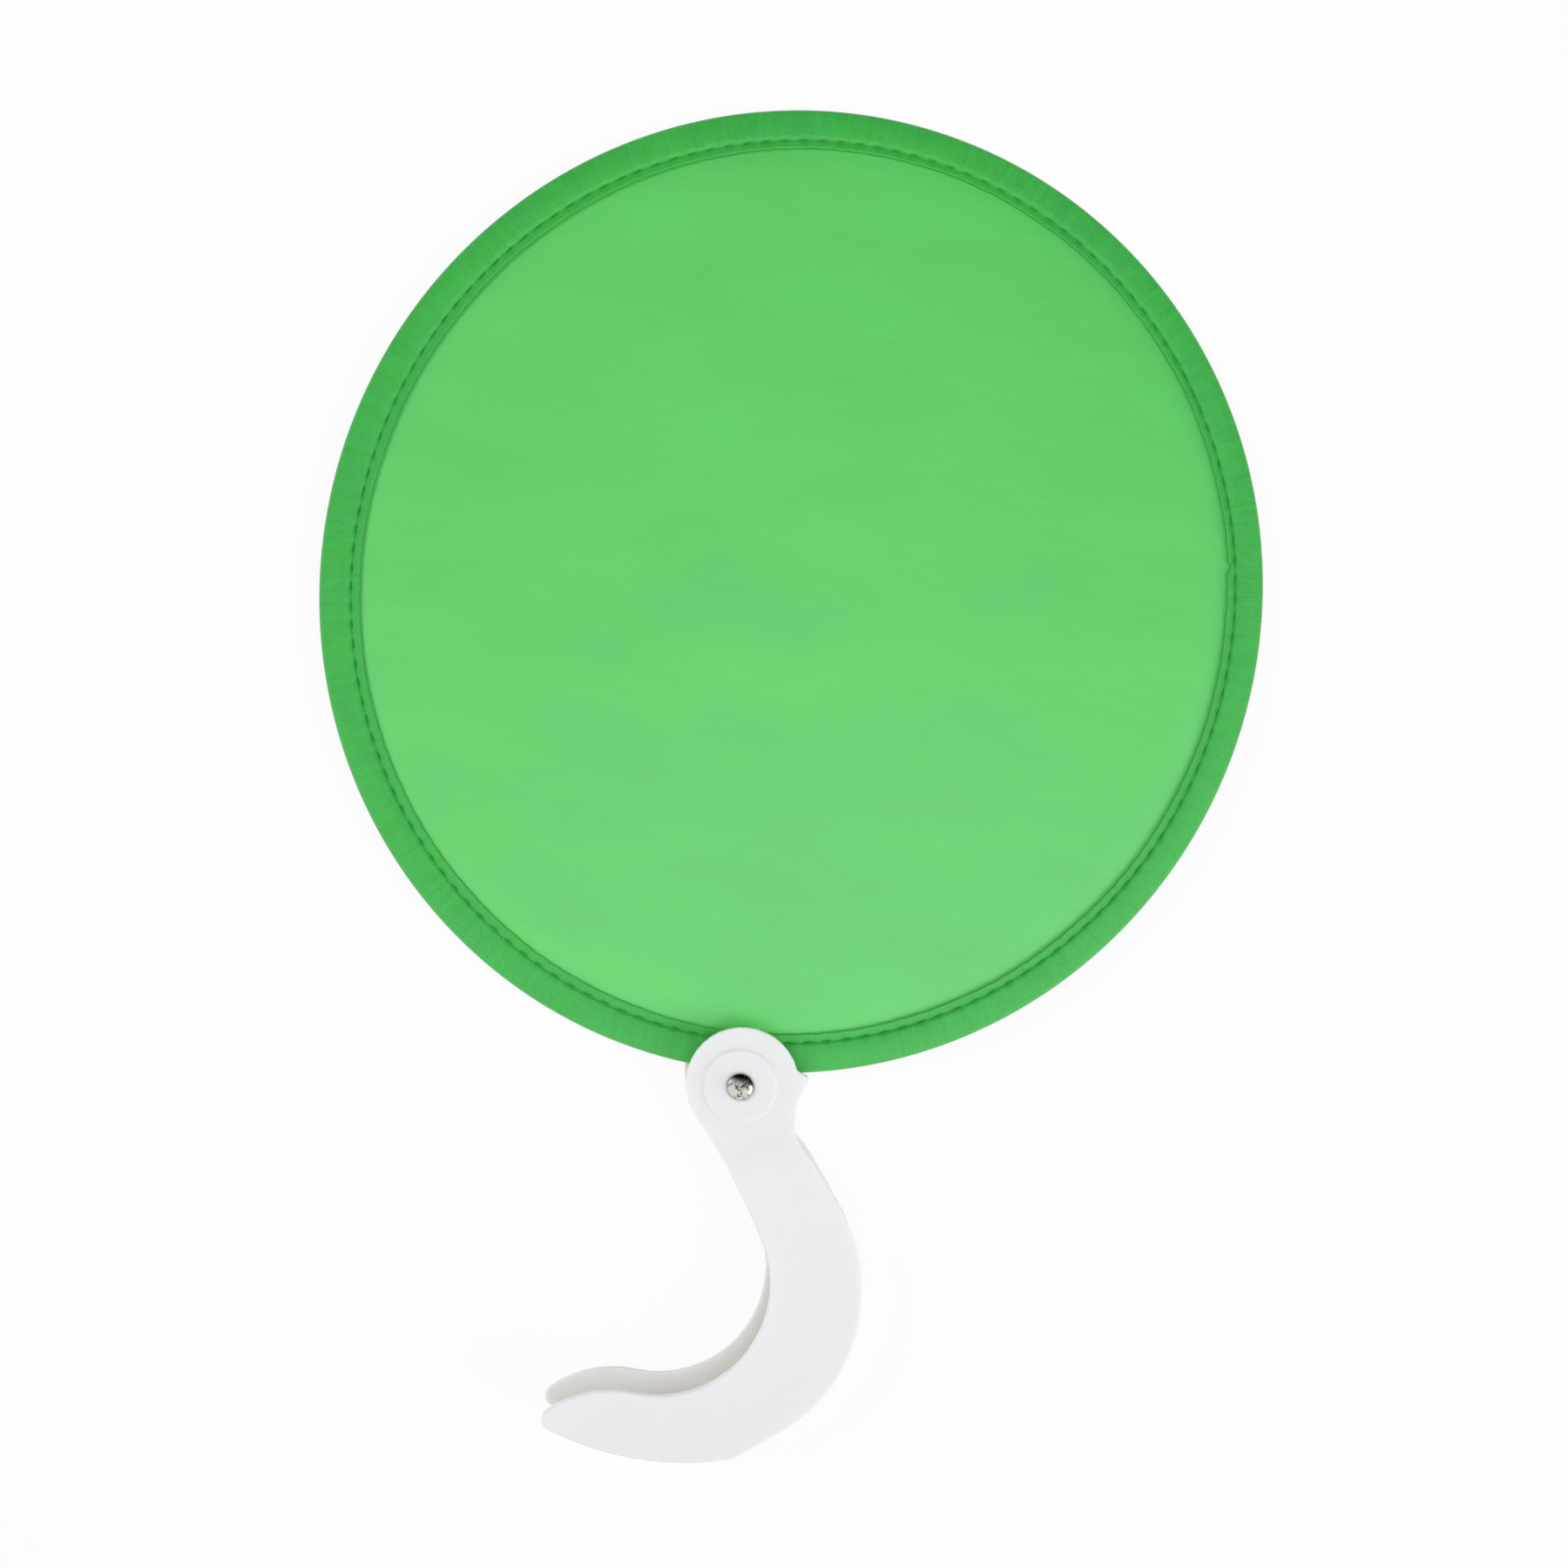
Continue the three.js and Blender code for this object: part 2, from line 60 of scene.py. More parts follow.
print("frame:", sorted(nodes), "pivot", tuple(round(c, 4) for c in pivot))

# %% [markdown]
# ## The camera
#
# The picture was taken from straight above, from less than half a metre, so the rear cheek of the hook
# shows behind the front one. How far it shows gives the camera's height, and its direction gives the point
# that the camera stands over. That point isn't the middle of the picture, so the lens is shifted instead of
# tilted.

# %% Camera
PHOTO_SIZE = 1800  # pixels, each way
PHOTO_SCALE = 4378  # pixels to a metre, at the middle of the handle's thickness
BELOW_CAMERA_PX = 750  # the column of the picture that is straight below the camera
RIVET_PX = Vector((850, 1248))  # the rivet's middle in the picture
CAMERA_RISE = 0.44  # above the middle of the handle's thickness
RIVET_RISE = 9.7 * MM  # the rivet's face, above that middle
SENSOR = 36  # the sensor's width, in Blender's millimetres


def add_camera():
    scale_at_rivet = PHOTO_SCALE * CAMERA_RISE / (CAMERA_RISE - RIVET_RISE)
    right = (RIVET_PX.x - BELOW_CAMERA_PX) / scale_at_rivet
    down = (RIVET_PX.y - PHOTO_SIZE / 2) / scale_at_rivet
    data = bpy.data.cameras.new("camera")
    data.sensor_fit = "HORIZONTAL"
    data.sensor_width = SENSOR
    data.lens = SENSOR * CAMERA_RISE * PHOTO_SCALE / PHOTO_SIZE
    data.shift_x = 0.5 - BELOW_CAMERA_PX / PHOTO_SIZE
    camera = bpy.data.objects.new("camera", data)
    camera.location = (pivot.x - right, pivot.y + down, pivot.z + CAMERA_RISE)
    bpy.context.scene.collection.objects.link(camera)
    bpy.context.scene.camera = camera
    return camera


camera = add_camera()
print("camera:", tuple(round(c, 4) for c in camera.location), "lens", round(camera.data.lens, 2))

# %% [markdown]
# ## Writing materials as sums
#
# A material is a tree of nodes. Linking dozens of Math nodes by hand hides what they work out, so one small
# class holds a socket and turns Python's own signs into Math nodes: `1 - mask` or `rib * 0.4 + grain` then
# reads as it does on paper. One method makes every other kind of node.


# %% Wires
class Wire:
    """A value in a material's nodes. Sums, products and comparisons of wires add Math nodes."""

    def __init__(self, tree, socket=None):
        self.tree = tree
        self.socket = socket

    def node(self, kind, settings=None, sockets=None, output=0):
        """Any node: its settings are set first, and then its sockets' values or links."""
        made = self.tree.nodes.new(kind)
        for name, value in (settings or {}).items():
            setattr(made, name, value)
        for name, value in (sockets or {}).items():
            if isinstance(value, Wire):
                self.tree.links.new(value.socket, made.inputs[name])
            else:
                made.inputs[name].default_value = value
        return Wire(self.tree, made.outputs[output] if made.outputs else None)

    def math(self, operation, first, second=0.0):
        return self.node("ShaderNodeMath", {"operation": operation}, {0: first, 1: second})

    def mix(self, low, high):
        """A colour between two, by this wire's value."""
        return self.node("ShaderNodeMix", {"data_type": "RGBA"}, {0: self, 6: low, 7: high}, output=2)

    def smooth(self, low, high):
        """From 0 at low to 1 at high, with soft ends."""
        ends = {"Value": self, "From Min": low, "From Max": high}
        return self.node("ShaderNodeMapRange", {"interpolation_type": "SMOOTHSTEP"}, ends)

    def __add__(self, other):
        return self.math("ADD", self, other)

    def __radd__(self, other):
        return self.math("ADD", other, self)

    def __sub__(self, other):
        return self.math("SUBTRACT", self, other)

    def __rsub__(self, other):
        return self.math("SUBTRACT", other, self)

    def __mul__(self, other):
        return self.math("MULTIPLY", self, other)

    def __rmul__(self, other):
        return self.math("MULTIPLY", other, self)

    def __truediv__(self, other):
        return self.math("DIVIDE", self, other)

    def __lt__(self, other):
        return self.math("LESS_THAN", self, other)


print("wires: ready")

# %% Finishes
WEAVE_MAP = "weave"  # the name of the tape's UV map
NOISE_ROUGHNESS = 0.55


class Finish:
    """A material with one Principled shader. Values that are the same all over are set on the shader."""

    def __init__(self, name, **constants):
        self.material = bpy.data.materials.new(name)
        self.material.use_nodes = True
        self.shader = self.material.node_tree.nodes["Principled BSDF"]
        self.wire = Wire(self.material.node_tree)
        for socket, value in constants.items():
            self.shader.inputs[socket.replace("_", " ")].default_value = value

    def feed(self, socket, wire):
        self.wire.tree.links.new(wire.socket, self.shader.inputs[socket])

    def bump(self, height, distance, strength=1.0):
        sockets = {"Height": height, "Distance": distance, "Strength": strength}
        self.feed("Normal", self.wire.node("ShaderNodeBump", {}, sockets))

    def place(self, centre=(0, 0, 0), turn=0.0):
        """Object coordinates about a centre, turned about Z, as X, Y and Z wires in millimetres."""
        spot = self.wire.node("ShaderNodeTexCoord", output="Object")
        shift = self.wire.node("ShaderNodeVectorMath", {"operation": "SUBTRACT"}, {0: spot, 1: centre})
        sockets = {"Vector": shift, "Rotation": (0, 0, turn), "Scale": (1 / MM, 1 / MM, 1 / MM)}
        return self.split(self.wire.node("ShaderNodeMapping", {"vector_type": "POINT"}, sockets))

    def tape_place(self):
        """The tape's own UV map, as wires in millimetres along it and across it, and a spare third."""
        return self.split(self.wire.node("ShaderNodeUVMap", {"uv_map": WEAVE_MAP}))

    def split(self, vector):
        return [self.wire.node("ShaderNodeSeparateXYZ", {}, {0: vector}, output=axis) for axis in "XYZ"]

    def noise(self, x, y, z, detail=2.0, scale=1.0):
        """Noise about 0, so that it can be added to a value without changing its mean."""
        vector = self.wire.node("ShaderNodeCombineXYZ", {}, {0: x, 1: y, 2: z})
        sockets = {"Vector": vector, "Scale": scale, "Detail": detail, "Roughness": NOISE_ROUGHNESS}
        return self.wire.node("ShaderNodeTexNoise", {}, sockets, output="Fac") - 0.5


print("finishes: ready")


# %% Colours
def linear(red, green, blue):
    """A colour as a screen shows it, from 0 to 255, as the shader needs it, by the sRGB curve."""
    scaled = [channel / 255 for channel in (red, green, blue)]
    curved = [((c + 0.055) / 1.055) ** 2.4 if c > 0.04045 else c / 12.92 for c in scaled]
    return (*curved, 1)


def shade(colour, share):
    """A darker or lighter tone of a colour."""
    return (*[channel * share for channel in colour[:3]], 1)


def toned(colour, tone):
    """A colour times a wire that stays between a half and one and a half."""
    return (tone - 0.5).mix(shade(colour, 0.5), shade(colour, 1.5))


WHITE = (1, 1, 1, 1)
print("colours: ready, white is", linear(255, 255, 255))

# %% [markdown]
# ## Cloth that is woven, not painted
#
# Close to, both cloths show their threads. A thread that passes over the next one stands up, and one that
# passes under it lies in shade. The weave is worked out thread by thread: whole parts of the coordinates
# count the threads, their sum says which thread is on top, and the fraction gives the round back of that
# thread. Noise that is stretched along the threads adds slubs, and slow noise adds faint clouds.


# %% Panel twill
def weave(finish, warp, weft, repeat, over):
    """Height of the top thread and a mask of the warp, for threads a unit apart.

    Of every repeat threads, the warp passes over some: 1 of 2 is a plain weave, 2 of 3 is a twill.
    """
    wire = finish.wire
    warp_count = wire.math("FLOOR", warp)
    weft_count = wire.math("FLOOR", weft)
    step = wire.math("FRACT", (warp_count + weft_count) / repeat)
    warp_up = step < (over - 0.5) / repeat
    warp_back = wire.math("SINE", wire.math("FRACT", warp) * math.pi)
    weft_back = wire.math("SINE", wire.math("FRACT", weft) * math.pi)
    ridge = warp_back * warp_up + weft_back * (1 - warp_up)
    height = (ridge + warp_back * weft_back) / 2
    return height, warp_up


# The panel is the tape's cloth, but its green is lighter: light through the thin cloth from the white ground
# below is painted into it
PANEL_GREEN_WITH_PAINTED_BACKLIGHT = linear(92, 205, 100)
PANEL_THREAD = 0.34  # millimetres from thread to thread
TWILL_TURN = math.radians(13)


def panel_finish():
    finish = Finish("panel_twill", Sheen_Weight=0.1, Sheen_Roughness=0.4, Specular_IOR_Level=1.0)
    x, y, z = finish.place(turn=TWILL_TURN)
    height, warp_up = weave(finish, x / PANEL_THREAD, y / PANEL_THREAD, repeat=3, over=2)
    slub = finish.noise(x * 0.05, y * 1.6, z, detail=3)  # about 20 mm long and 0.6 mm wide
    cloud = finish.noise(x * 0.02, y * 0.05, z, detail=2)  # about 50 by 20 mm
    tone = 0.81 + height * 0.2 + warp_up * 0.14 + slub * 0.12 + cloud * 0.15
    finish.feed("Base Color", toned(PANEL_GREEN_WITH_PAINTED_BACKLIGHT, tone))
    finish.feed("Roughness", 0.42 + height * 0.08 + slub * 0.08)
    finish.bump(height + slub, distance=0.03 * MM, strength=0.4)
    return finish.material


panel_cloth_finish = panel_finish()
print("panel:", panel_cloth_finish.name)

# %% Binding rib
TAPE_GREEN = linear(52, 180, 67)
TAPE_RIB = 0.37  # millimetres from rib to rib along the tape
TAPE_THREAD = 0.3  # and from thread to thread across it


def tape_finish():
    finish = Finish("binding_rib", Sheen_Weight=0.4, Sheen_Roughness=0.3, Specular_IOR_Level=0.9)
    along, across, _ = finish.tape_place()
    height, rib_up = weave(finish, along / TAPE_RIB, across / TAPE_THREAD, repeat=2, over=1)
    slub = finish.noise(along * 0.8, across * 0.1, 0.0, detail=3)  # about 10 mm long and 1.2 mm wide
    cloud = finish.noise(along * 0.03, across * 0.2, 0.0, detail=2)  # about 33 by 5 mm
    tone = 0.56 + height * 0.4 + rib_up * 0.44 + slub * 0.4 + cloud * 0.24
    finish.feed("Base Color", toned(TAPE_GREEN, tone))
    finish.feed("Roughness", 0.46 + slub * 0.2)
    finish.bump(height + slub, distance=0.06 * MM, strength=0.8)
    return finish.material


tape_cloth_finish = tape_finish()
print("tape:", tape_cloth_finish.name)

# %% Seam thread
# The thread is a darker green than the tape: the shade of the seam's groove is painted into it
THREAD_GREEN_WITH_PAINTED_SHADE = linear(50, 142, 60)


def thread_finish():
    finish = Finish("seam_thread", Sheen_Weight=0.2, Specular_IOR_Level=0.3)
    x, y, z = finish.place()
    strand = finish.noise(x, y, z, detail=2, scale=5)
    finish.feed("Base Color", (strand + 0.5).mix(shade(THREAD_GREEN_WITH_PAINTED_SHADE, 0.7), shade(THREAD_GREEN_WITH_PAINTED_SHADE, 1.25)))
    finish.feed("Roughness", 0.6 + strand * 0.2)
    finish.bump(strand, distance=0.04 * MM)
    return finish.material


seam_thread_finish = thread_finish()
print("thread:", seam_thread_finish.name)

# %% [markdown]
# ## Plastic and metal
#
# Moulded plastic is never quite even: the mould leaves a fine grain, and the gloss wanders where the
# plastic cooled at different speeds. Inside the channel the light has come through the plastic, so faces
# that look inwards get a painted glow: a lighter, warmer white. The rivet is nickel-plated, and the tool
# that closed it left scuffs in the middle of its head, where a dark reflection is painted in as well.
# Painted shade darkens the head's rim where it meets the plastic. The wire is drawn steel, which shows
# streaks.

# %% Moulded plastic
HANDLE_WHITE = linear(236, 236, 238)
# Light that has come through the plastic, painted on the inside of the channel as a lighter, warmer white
HANDLE_PAINTED_GLOW = linear(253, 248, 242)  # painted glow, for faces inside the channel
CLAMP_WHITE = linear(222, 222, 218)
GLOW_DEPTH = 1.5 * MM  # how far light wanders inside the white plastic
GLOW_TINT = (1, 0.95, 0.86)  # red goes all of that way, and green and blue a little less
PAINTED_GLOW_START = 2  # millimetres from the middle of the thickness, where the painted glow on a face that looks inwards starts
PAINTED_GLOW_FULL = 6  # and where it is full


def plastic_finish(name, colour, painted_glow, roughness, grain):
    glow = {"Subsurface_Weight": 1.0, "Subsurface_Scale": GLOW_DEPTH, "Subsurface_Radius": GLOW_TINT}
    finish = Finish(name, Specular_IOR_Level=0.5, **glow)
    x, y, z = finish.place(centre=pivot)
    cooling = finish.noise(x, y, z, detail=2, scale=0.06)
    speck = finish.noise(x, y, z, detail=3, scale=grain)
    outer = (0.5 + cooling * 0.6 + speck * 0.1).mix(shade(colour, 0.985), shade(colour, 1.01))
    way = finish.split(finish.wire.node("ShaderNodeNewGeometry", output="Normal"))
    # Faces that look inwards get the painted glow instead of the outer white
    painted_glow_share = (0 - z * way[2]).smooth(PAINTED_GLOW_START, PAINTED_GLOW_FULL)
    finish.feed("Base Color", painted_glow_share.mix(outer, painted_glow))
    finish.feed("Roughness", roughness + cooling * 0.12 + speck * 0.06)
    finish.bump(speck, distance=0.012 * MM, strength=0.5)
    return finish.material


handle_finish = plastic_finish("handle_white", HANDLE_WHITE, HANDLE_PAINTED_GLOW, roughness=0.4, grain=1.4)
clamp_finish = plastic_finish("clamp_white", CLAMP_WHITE, CLAMP_WHITE, roughness=0.55, grain=2.2)
print("plastic:", handle_finish.name, clamp_finish.name)

# %% Nickel
NICKEL = linear(214, 211, 205)
# Dark scuffs from the tool, with a dark reflection painted into the middle of the head as well
SCUFF_AND_PAINTED_REFLECTION = linear(66, 60, 56)
SCUFF_AND_REFLECTION_RADIUS = 1.7  # millimetres from the rivet's middle
SCUFF_AND_REFLECTION_RAGGED = 9  # how strongly the smears push that radius in and out
SCUFF_AND_REFLECTION_FADE = (-0.9, 0.7)  # millimetres inside that radius, between which the wear and the painted dark reflection set in
PIT_FADE = (-0.14, 0.16)  # values of the noise between which the scuffed middle, with its painted reflection, turns dark
PAINTED_RIM_SHADE_START = 3.1  # painted shade darkens the head between these radii, where it meets the plastic
PAINTED_RIM_SHADE_END = 3.5
PAINTED_RIM_SHADE = 0.6


def nickel_finish():
    finish = Finish("rivet_nickel", Metallic=1.0)
    x, y, z = finish.place(centre=pivot)
    wire = finish.wire
    radius = wire.math("SQRT", x * x + y * y)
    smear = finish.noise(x * 0.8, y * 0.6, z, detail=5)
    pits = finish.noise(x * 2.4, y * 2.4, z, detail=3)
    # The middle of the head darkens with scuffs and with a painted dark reflection
    scuffed_and_reflecting = (SCUFF_AND_REFLECTION_RADIUS + smear * SCUFF_AND_REFLECTION_RAGGED - radius).smooth(*SCUFF_AND_REFLECTION_FADE)
    dark_scuffs_and_reflection = scuffed_and_reflecting * (pits + smear).smooth(*PIT_FADE)
    # Painted shade along the rim of the head, where it meets the plastic
    painted_rim_shade = radius.smooth(PAINTED_RIM_SHADE_START, PAINTED_RIM_SHADE_END) * PAINTED_RIM_SHADE
    finish.feed("Base Color", wire.math("MAXIMUM", dark_scuffs_and_reflection, painted_rim_shade).mix(NICKEL, SCUFF_AND_PAINTED_REFLECTION))
    finish.feed("Roughness", 0.2 + scuffed_and_reflecting * 0.1 + dark_scuffs_and_reflection * 0.2)
    finish.bump(pits * scuffed_and_reflecting, distance=0.12 * MM)
    return finish.material


rivet_finish = nickel_finish()
print("rivet:", rivet_finish.name)

# %% Spring steel
WIRE_GREY = linear(150, 152, 156)


def steel_finish():
    finish = Finish("spring_steel", Metallic=1.0)
    x, y, z = finish.place()
    streak = finish.noise(x, y, z * 12, detail=3, scale=0.6)
    finish.feed("Base Color", (streak + 0.5).mix(shade(WIRE_GREY, 0.8), shade(WIRE_GREY, 1.15)))
    finish.feed("Roughness", 0.34 + streak * 0.2)
    return finish.material


wire_finish = steel_finish()
for name, finish in {
    "rim_clamp_front": clamp_finish,
    "rim_clamp_rear": clamp_finish,
    "spring_hoop": wire_finish,
    "hoop_ferrule": wire_finish,
}.items():
    nodes[name].material_slots[0].material = finish
    print("CAD piece:", name, finish.name)

# %% [markdown]
# ## From a bmesh to a piece
#
# Each piece is shaped as a bmesh. The first function below writes it to an object at the origin, gives it a
# finish, shades it smooth apart from its sharp edges, and tells the frame which body it rides on. Most
# pieces of a fan are round, so two more functions spin a row of points and repeat a part round Z. The
# last two give the soft and straight slopes that points are moved by.

# %% Pieces
MERGE = 1e-6  # points nearer than this are one point


def piece(name, bm, material, body, replaced=(), sharp=180.0):
    mesh = bpy.data.meshes.new(name)
    bm.to_mesh(mesh)
    bm.free()
    mesh.materials.append(material)
    mesh.shade_smooth()
    mesh.set_sharp_from_angle(angle=math.radians(sharp))
    obj = bpy.data.objects.new(name, mesh)
    bpy.context.scene.collection.objects.link(obj)
    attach(obj, body)
    if replaced:
        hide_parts(*replaced)
    print("piece:", name, len(mesh.polygons), "faces")
    return obj


def spin_row(bm, row, steps, turn=math.tau):
    """Joins points into a line, and spins it about Z into faces."""
    line = [bm.edges.new(pair) for pair in zip(row, row[1:])]
    full = turn == math.tau
    bmesh.ops.spin(bm, geom=row + line, axis=(0, 0, 1), angle=turn, steps=steps, use_merge=full)
    bmesh.ops.remove_doubles(bm, verts=bm.verts, dist=MERGE)


def repeat_round(bm, times):
    """Copies of what the bmesh holds, turned about Z and merged where they meet."""
    first = bm.verts[:] + bm.edges[:] + bm.faces[:]
    for count in range(1, times):
        made = bmesh.ops.duplicate(bm, geom=first)["geom"]
        verts = [part for part in made if isinstance(part, bmesh.types.BMVert)]
        bmesh.ops.rotate(bm, matrix=Matrix.Rotation(math.tau * count / times, 3, "Z"), verts=verts)
    bmesh.ops.remove_doubles(bm, verts=bm.verts, dist=MERGE)


def bell(distance, width):
    """1 at no distance, and next to nothing at two widths."""
    return math.exp(-((distance / width) ** 2))


def part_way(value, start, end):
    """From 0 at the start to 1 at the end, and no less or more beyond them."""
    return min(1.0, max(0.0, (value - start) / (end - start)))


print("pieces: points merge within", MERGE, "m")

# %% [markdown]
# ## Where the disc lies
#
# The disc is a little oval and leans, as a hoop of thin wire does, and it droops from the handle's head
# down to the table. Its pieces are made as round things about Z and put there by one matrix. The CAD node
# of the tape gives the disc's middle, and the way from the pivot to that middle gives the droop.

# %% The disc's place
DISC_LONG = 256.4 * MM
DISC_SHORT = 248.9 * MM
DISC_LEAN = math.radians(17.8)  # the long axis, from +Y towards +X
disc_low, disc_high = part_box("binding_tape")
disc_middle = (disc_low + disc_high) / 2
droop = math.atan2(pivot.z - disc_middle.z, disc_middle.y - pivot.y)
disc_radius = (DISC_LONG + DISC_SHORT) / 4
oval = Matrix.Diagonal((DISC_SHORT / 2 / disc_radius, DISC_LONG / 2 / disc_radius, 1, 1))
lean = Matrix.Rotation(-DISC_LEAN, 4, "Z")
disc_place = Matrix.Translation(disc_middle) @ Matrix.Rotation(-droop, 4, "X") @ lean @ oval


def round_bearing(bearing):
    """Where a bearing in the picture, from +X, lies on the round disc before it leans."""
    way = (lean @ oval).inverted() @ Vector((math.cos(bearing), math.sin(bearing), 0))
    return math.atan2(way.y, way.x)


print("disc: droop", round(math.degrees(droop), 2), "middle", tuple(round(c, 4) for c in disc_middle))

# %% [markdown]
# ## The cloth panel
#
# The panel is one round cut of thin twill, stretched by the hoop. Cloth that is stretched by hand is never
# flat: it keeps slow swells, and a small tuck where the tape gathers it. A row of points is spun into a
# disc, and the points are then lifted by two slow waves, which die out at the rim where the tape holds the
# cloth. Beside the tape the cloth comes up in a soft shoulder.

# %% Panel
PANEL_INSET = 6.6 * MM  # from the rim to the panel's edge, inside the tape
PANEL_THICKNESS = 0.3 * MM
PANEL_RINGS = 60
PANEL_STEPS = 240
SWELL = 0.5 * MM
SWELL_WAVES = [(2.3, -1.4, 0.6, 1), (1.7, 3.1, -1.1, 0.6)]  # slopes along X and Y, start and share
SWELL_HOLD = 6  # a power: the higher, the nearer to the rim the swells die out
SHOULDER = 0.9 * MM  # beside the tape the cloth rises this far
SHOULDER_START = 2.8 * MM  # from the panel's edge
SHOULDER_WIDTH = 3 * MM
TUCK_RISE = 0.5 * MM
TUCK_PLACE = round_bearing(math.radians(259))
TUCK_WIDTH = 1.2 * MM
TUCK_INSET = 0.06  # from the panel's edge to the tuck's middle, as a share of the panel's radius
TUCK_LENGTH = 0.03  # as a share of that radius too


def panel_lift(radius, bearing, edge):
    """How far the cloth stands off its plane."""
    x = radius * math.cos(bearing) / edge
    y = radius * math.sin(bearing) / edge
    held = max(0.0, 1 - (radius / edge) ** SWELL_HOLD)
    swell = sum(share * math.sin(a * x + b * y + start) for a, b, start, share in SWELL_WAVES)
    aside = radius * math.sin(bearing - TUCK_PLACE)
    tuck = bell(aside, TUCK_WIDTH) * bell((edge - radius) / edge - TUCK_INSET, TUCK_LENGTH)
    facing = math.cos(bearing - TUCK_PLACE) > 0
    shoulder = 1 - math.exp(-max(0.0, edge - radius - SHOULDER_START) / SHOULDER_WIDTH)
    return SWELL * held * swell + SHOULDER * shoulder + TUCK_RISE * tuck * facing


def panel_mesh():
    edge = disc_radius - PANEL_INSET
    bm = bmesh.new()
    row = [bm.verts.new((edge * step / PANEL_RINGS, 0, 0)) for step in range(PANEL_RINGS + 1)]
    spin_row(bm, row, PANEL_STEPS)
    for vert in bm.verts:
        vert.co.z = panel_lift(vert.co.xy.length, math.atan2(vert.co.y, vert.co.x), edge)
    bmesh.ops.recalc_face_normals(bm, faces=bm.faces)
    bm.normal_update()
    if sum(face.normal.z for face in bm.faces) < 0:
        bmesh.ops.reverse_faces(bm, faces=bm.faces)
    bmesh.ops.transform(bm, matrix=disc_place, verts=bm.verts)
    return bm


panel = piece("panel_cloth", panel_mesh(), panel_cloth_finish, "disc", ["fabric_panel"])
thickness = panel.modifiers.new("thickness", "SOLIDIFY")
thickness.thickness = PANEL_THICKNESS
thickness.offset = 0

# %% [markdown]
# ## The binding tape
#
# A ribbed tape is folded over the wire and sewn through the panel. The seam pulls the cloth down into a row
# of small puckers, and the strip inside the seam stands up free. Half of the tape's section is drawn as one
# line, from the fold over the front to the free edge and back inside. Spinning it gives the front half, and
# mirroring that gives the rear. The seam's puckers are moved in afterwards, one for each stitch.

# %% Tape section
STITCHES = 147
STEPS_PER_STITCH = 6
ROUND_PARTS = 7  # the round is made in this many like parts, which is much quicker than one long spin
SEAM_INSET = 8 * MM
TAPE_WIDTH = 10.2 * MM
FOLD_RADIUS = 1.5 * MM
TAPE_THICKNESS = 0.35 * MM
FOLD_STEPS = 6
# From the fold's top to the free edge and back inside: distances from the rim and heights, in millimetres
TAPE_BACK = [(2.3, 1.6), (3.3, 1.72), (4.5, 1.78), (5.7, 1.78), (6.8, 1.72)]
TAPE_SEAM = [(7.4, 1.62), (7.8, 1.34), (8, 0.86), (8.2, 0.86), (8.42, 1.1)]
TAPE_STRIP = [(9, 1.2), (9.5, 1.32), (9.85, 1.38), (10.06, 1.36), (10.18, 1.24)]
TAPE_EDGE = [(10.2, 1.1), (10.1, 0.98), (9.8, 0.86), (9.2, 0.68)]
TAPE_INSIDE = [(8.5, 0.44), (8, 0.3), (6.4, 0.7), (4, 1.2)]


def fold_arc(radius, start, end):
    """Points of the fold about the wire, between two angles up from the rim's plane."""
    angles = [start + (end - start) * step / FOLD_STEPS for step in range(FOLD_STEPS + 1)]
    return [(FOLD_RADIUS - radius * math.cos(a), radius * math.sin(a)) for a in angles]


def half_section():
    """The front half of the tape in section, as distances from the rim and heights."""
    drawn = TAPE_BACK + TAPE_SEAM + TAPE_STRIP + TAPE_EDGE + TAPE_INSIDE
    outer = fold_arc(FOLD_RADIUS, 0, math.pi / 2)
    middle = [(inset * MM, height * MM) for inset, height in drawn]
    inner = fold_arc(FOLD_RADIUS - TAPE_THICKNESS, math.pi / 2, 0)
    return outer + middle + inner


print("tape section:", len(half_section()), "points")

# %% Seam
SEAM_DRIFT = 0.55 * MM
DRIFT_PLACE = round_bearing(math.radians(160))
LAP_PLACE = round_bearing(math.radians(2.5))  # where the tape's end laps over its start
LAP_STEP = 0.4 * MM
LAP_PINCH = 0.9 * MM
LAP_LENGTH = 1.1 * MM
WOBBLE_WAVES = [(17, 0.4, 0.5), (41, 2.1, 0.3), (73, 0, 0.2)]  # waves round the rim, their start, their share


def seam_wave(bearing):
    """From -1 at a needle hole to 1 at the middle of a stitch."""
    return -math.cos(bearing * STITCHES)


def seam_shift(bearing):
    """How far the seam lies inside its usual place: the tape was folded wider on the left."""
    return SEAM_DRIFT * math.cos(bearing - DRIFT_PLACE)


def tape_wobble(bearing):
    """A slow unevenness along the tape, from the way it was fed to the needle."""
    return sum(share * math.sin(waves * bearing + start) for waves, start, share in WOBBLE_WAVES)


def lap_shift(bearing):
    """The free edge is pinched at the lap, and stands further in just past it."""
    past = (LAP_PLACE - bearing + math.pi) % math.tau - math.pi
    pinch = bell(past * disc_radius, LAP_LENGTH)
    step = max(0.0, 1 - past / math.pi) if past > 0 else 0.0
    return LAP_STEP * step - LAP_PINCH * pinch


print("seam: stitches of", round(math.tau * (disc_radius - SEAM_INSET) / STITCHES / MM, 2), "mm")

